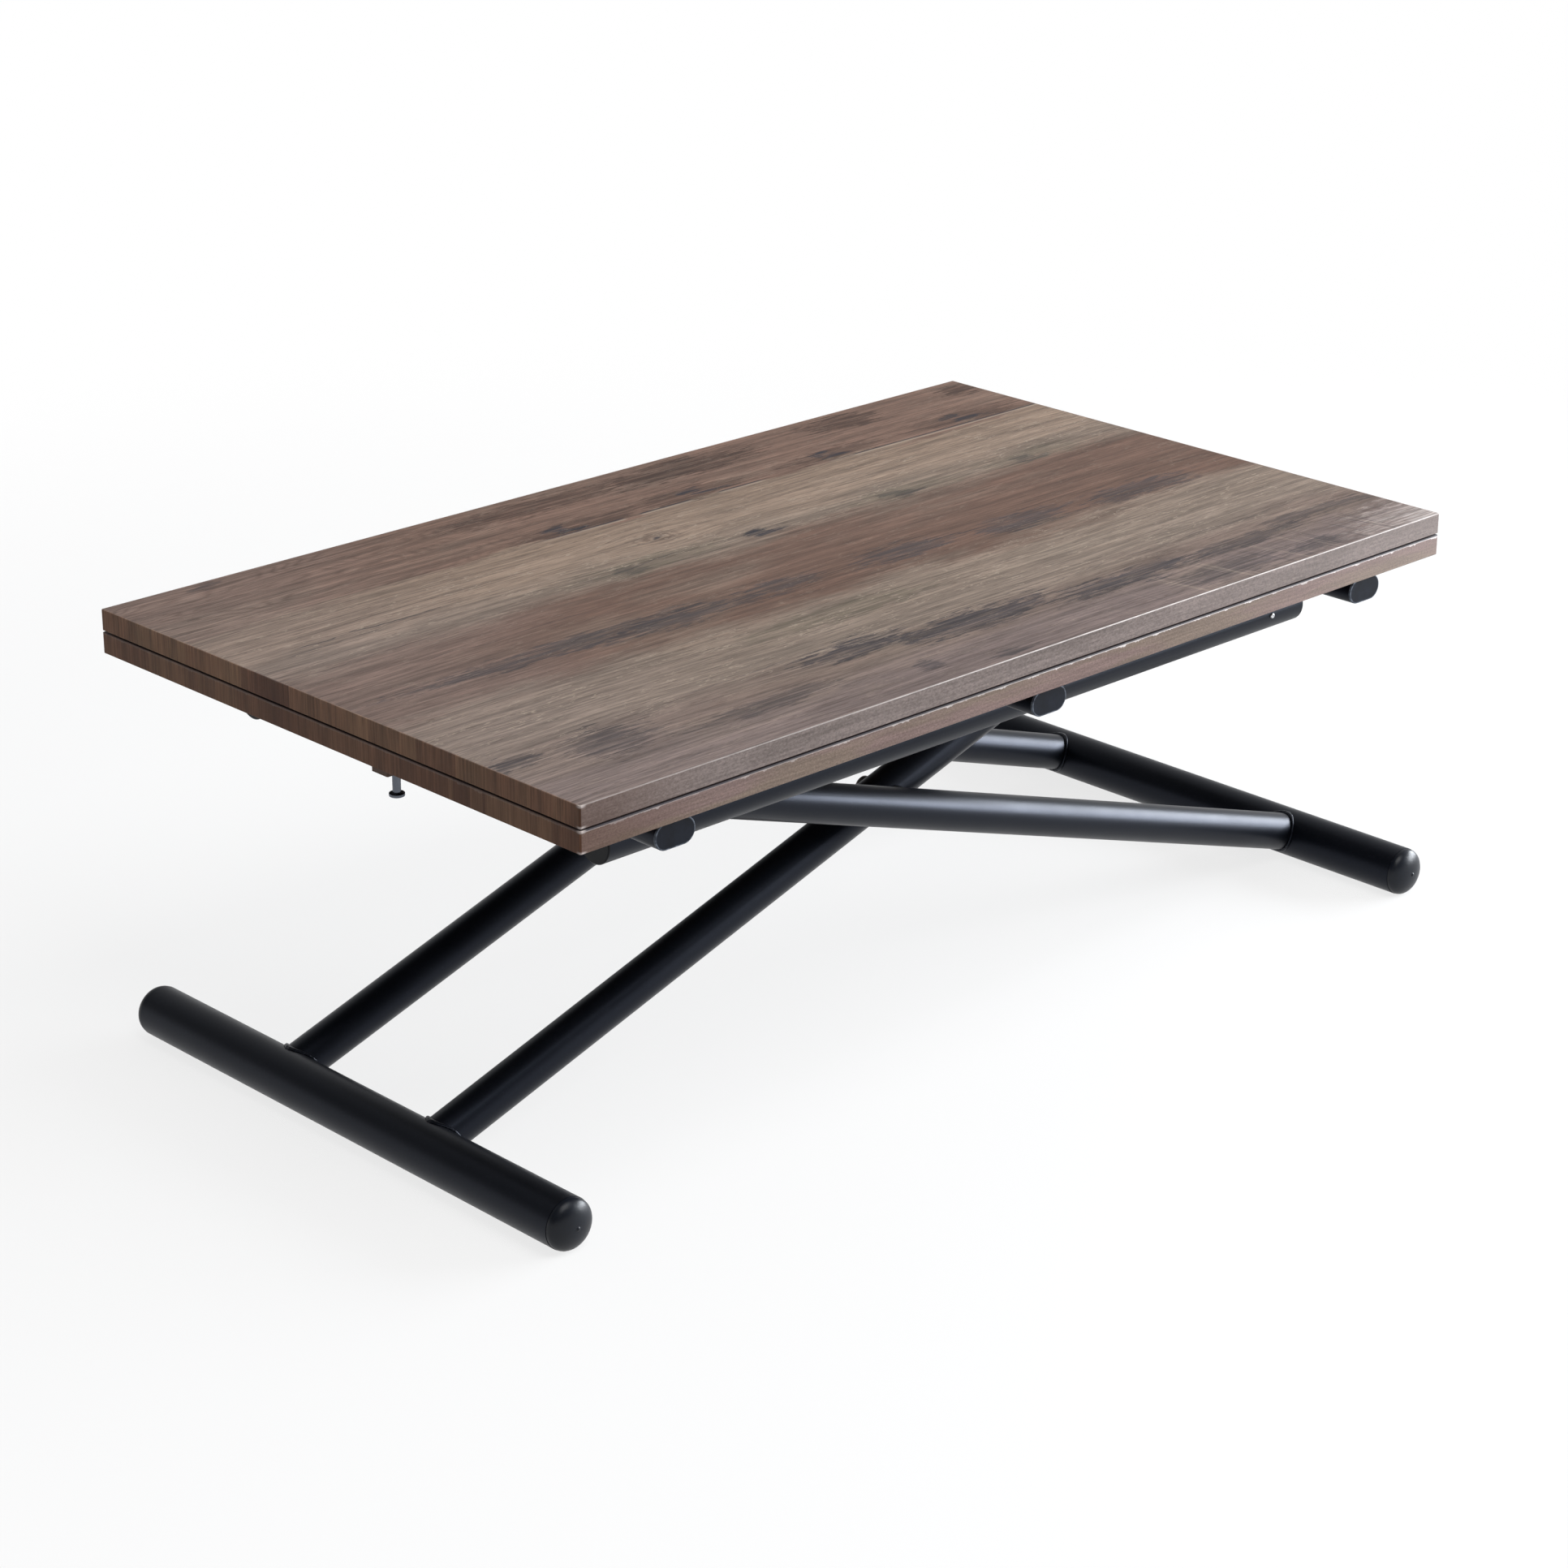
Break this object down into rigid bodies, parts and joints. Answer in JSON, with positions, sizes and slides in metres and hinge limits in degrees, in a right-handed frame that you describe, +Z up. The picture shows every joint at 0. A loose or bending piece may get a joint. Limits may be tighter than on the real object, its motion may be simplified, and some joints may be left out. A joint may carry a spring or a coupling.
{
  "type": "convertible coffee and dining table",
  "caption": "Low table with a wood-look fold-over top that slides on a steel frame, on crossed tube legs that scissor up to dining height.",
  "frame": {"origin": "on the floor, midway between the two foot tubes", "axes": "+X along the table from the release knob's end, +Y towards the hinged long edge, +Z up"},
  "size_m": [1.148, 0.653, 0.41],
  "materials": {
    "leaf_laminate": "rustic plank laminate",
    "leaf_edging": "printed edging",
    "black_steel": "satin powder coat",
    "chrome": "polished",
    "bright_steel": "ground",
    "zinc_steel": "zinc plated",
    "black_plastic": "moulded",
    "lever_plastic": "moulded",
    "nylon": "natural nylon",
    "clear_rubber": "clear bumper"
  },
  "bodies": {
    "top_frame": {"rail_front": "black_steel", "rail_rear": "black_steel", "rail_end_plugs": "black_plastic", "cross_bar_left": "black_steel", "cross_bar_middle": "black_steel", "cross_bar_right": "black_steel", "bar_end_caps": "black_plastic", "frame_welds": "black_steel", "fixed_pivot_axle": "zinc_steel", "axle_end_screws": "zinc_steel", "strut_bracket": "black_steel", "strut_rod": "bright_steel", "strut_rod_nut": "zinc_steel", "lever_pivot_pin": "zinc_steel"},
    "inner_legs": {"left_foot_tube": "black_steel", "left_foot_caps": "black_plastic", "left_foot_welds": "black_steel", "inner_leg_front": "black_steel", "inner_leg_rear": "black_steel", "inner_leg_axle_bushes": "nylon", "inner_leg_end_plugs": "black_plastic", "inner_leg_cross_bushes": "nylon"},
    "outer_legs": {"right_foot_tube": "black_steel", "right_foot_caps": "black_plastic", "right_foot_welds": "black_steel", "outer_leg_front": "black_steel", "outer_leg_rear": "black_steel", "outer_leg_axle_bushes": "nylon", "outer_leg_end_plugs": "black_plastic", "cross_pivot_pins": "black_steel", "cross_pivot_spacers": "black_plastic", "cross_pivot_washers": "zinc_steel"},
    "carriage": {"slider_axle": "zinc_steel", "rail_slider_front": "nylon", "rail_slider_rear": "nylon", "carriage_block": "black_steel", "strut_cylinder": "black_steel"},
    "lower_leaf": {"lower_leaf_board": "leaf_laminate", "lower_leaf_edging": "leaf_edging", "lower_hinge_plates": "zinc_steel", "hinge_pins": "zinc_steel", "leaf_bumpers": "clear_rubber", "slide_glides": "nylon"},
    "upper_leaf": {"upper_leaf_board": "leaf_laminate", "upper_leaf_edging": "leaf_edging", "upper_hinge_plates": "zinc_steel"},
    "release": {"release_lever": "lever_plastic", "release_knob": "chrome"}
  },
  "joints": [
    {"name": "lift", "type": "hinge", "parent": "top_frame", "child": "inner_legs", "pos_m": [0.38, 0, 0.3248], "axis": [0, -1, 0], "range_deg": [-10.8, 23.8]},
    {"name": "leg_cross", "type": "hinge", "parent": "inner_legs", "child": "outer_legs", "pos_m": [0, 0, 0.20189], "axis": [0, 1, 0], "range_deg": [-21.6, 47.6]},
    {"name": "carriage_pivot", "type": "hinge", "parent": "outer_legs", "child": "carriage", "pos_m": [-0.38, 0, 0.3248], "axis": [0, -1, 0], "range_deg": [-10.8, 23.8]},
    {"name": "top_slide", "type": "slide", "parent": "top_frame", "child": "lower_leaf", "axis": [0, -1, 0], "range_m": [0, 0.325]},
    {"name": "leaf_flip", "type": "hinge", "parent": "lower_leaf", "child": "upper_leaf", "pos_m": [-0.012, 0.3255, 0.3892], "axis": [-1, 0, 0], "range_deg": [0, 180]},
    {"name": "release_pull", "type": "hinge", "parent": "top_frame", "child": "release", "pos_m": [-0.456, 0, 0.332], "axis": [0, -1, 0], "range_deg": [0, 14], "stiffness_Nm_per_rad": 0.6, "springref_deg": -6}
  ],
  "couplings": [
    {"joint": "leg_cross", "follows": "lift", "ratio": 2},
    {"joint": "carriage_pivot", "follows": "lift", "ratio": 1}
  ]
}
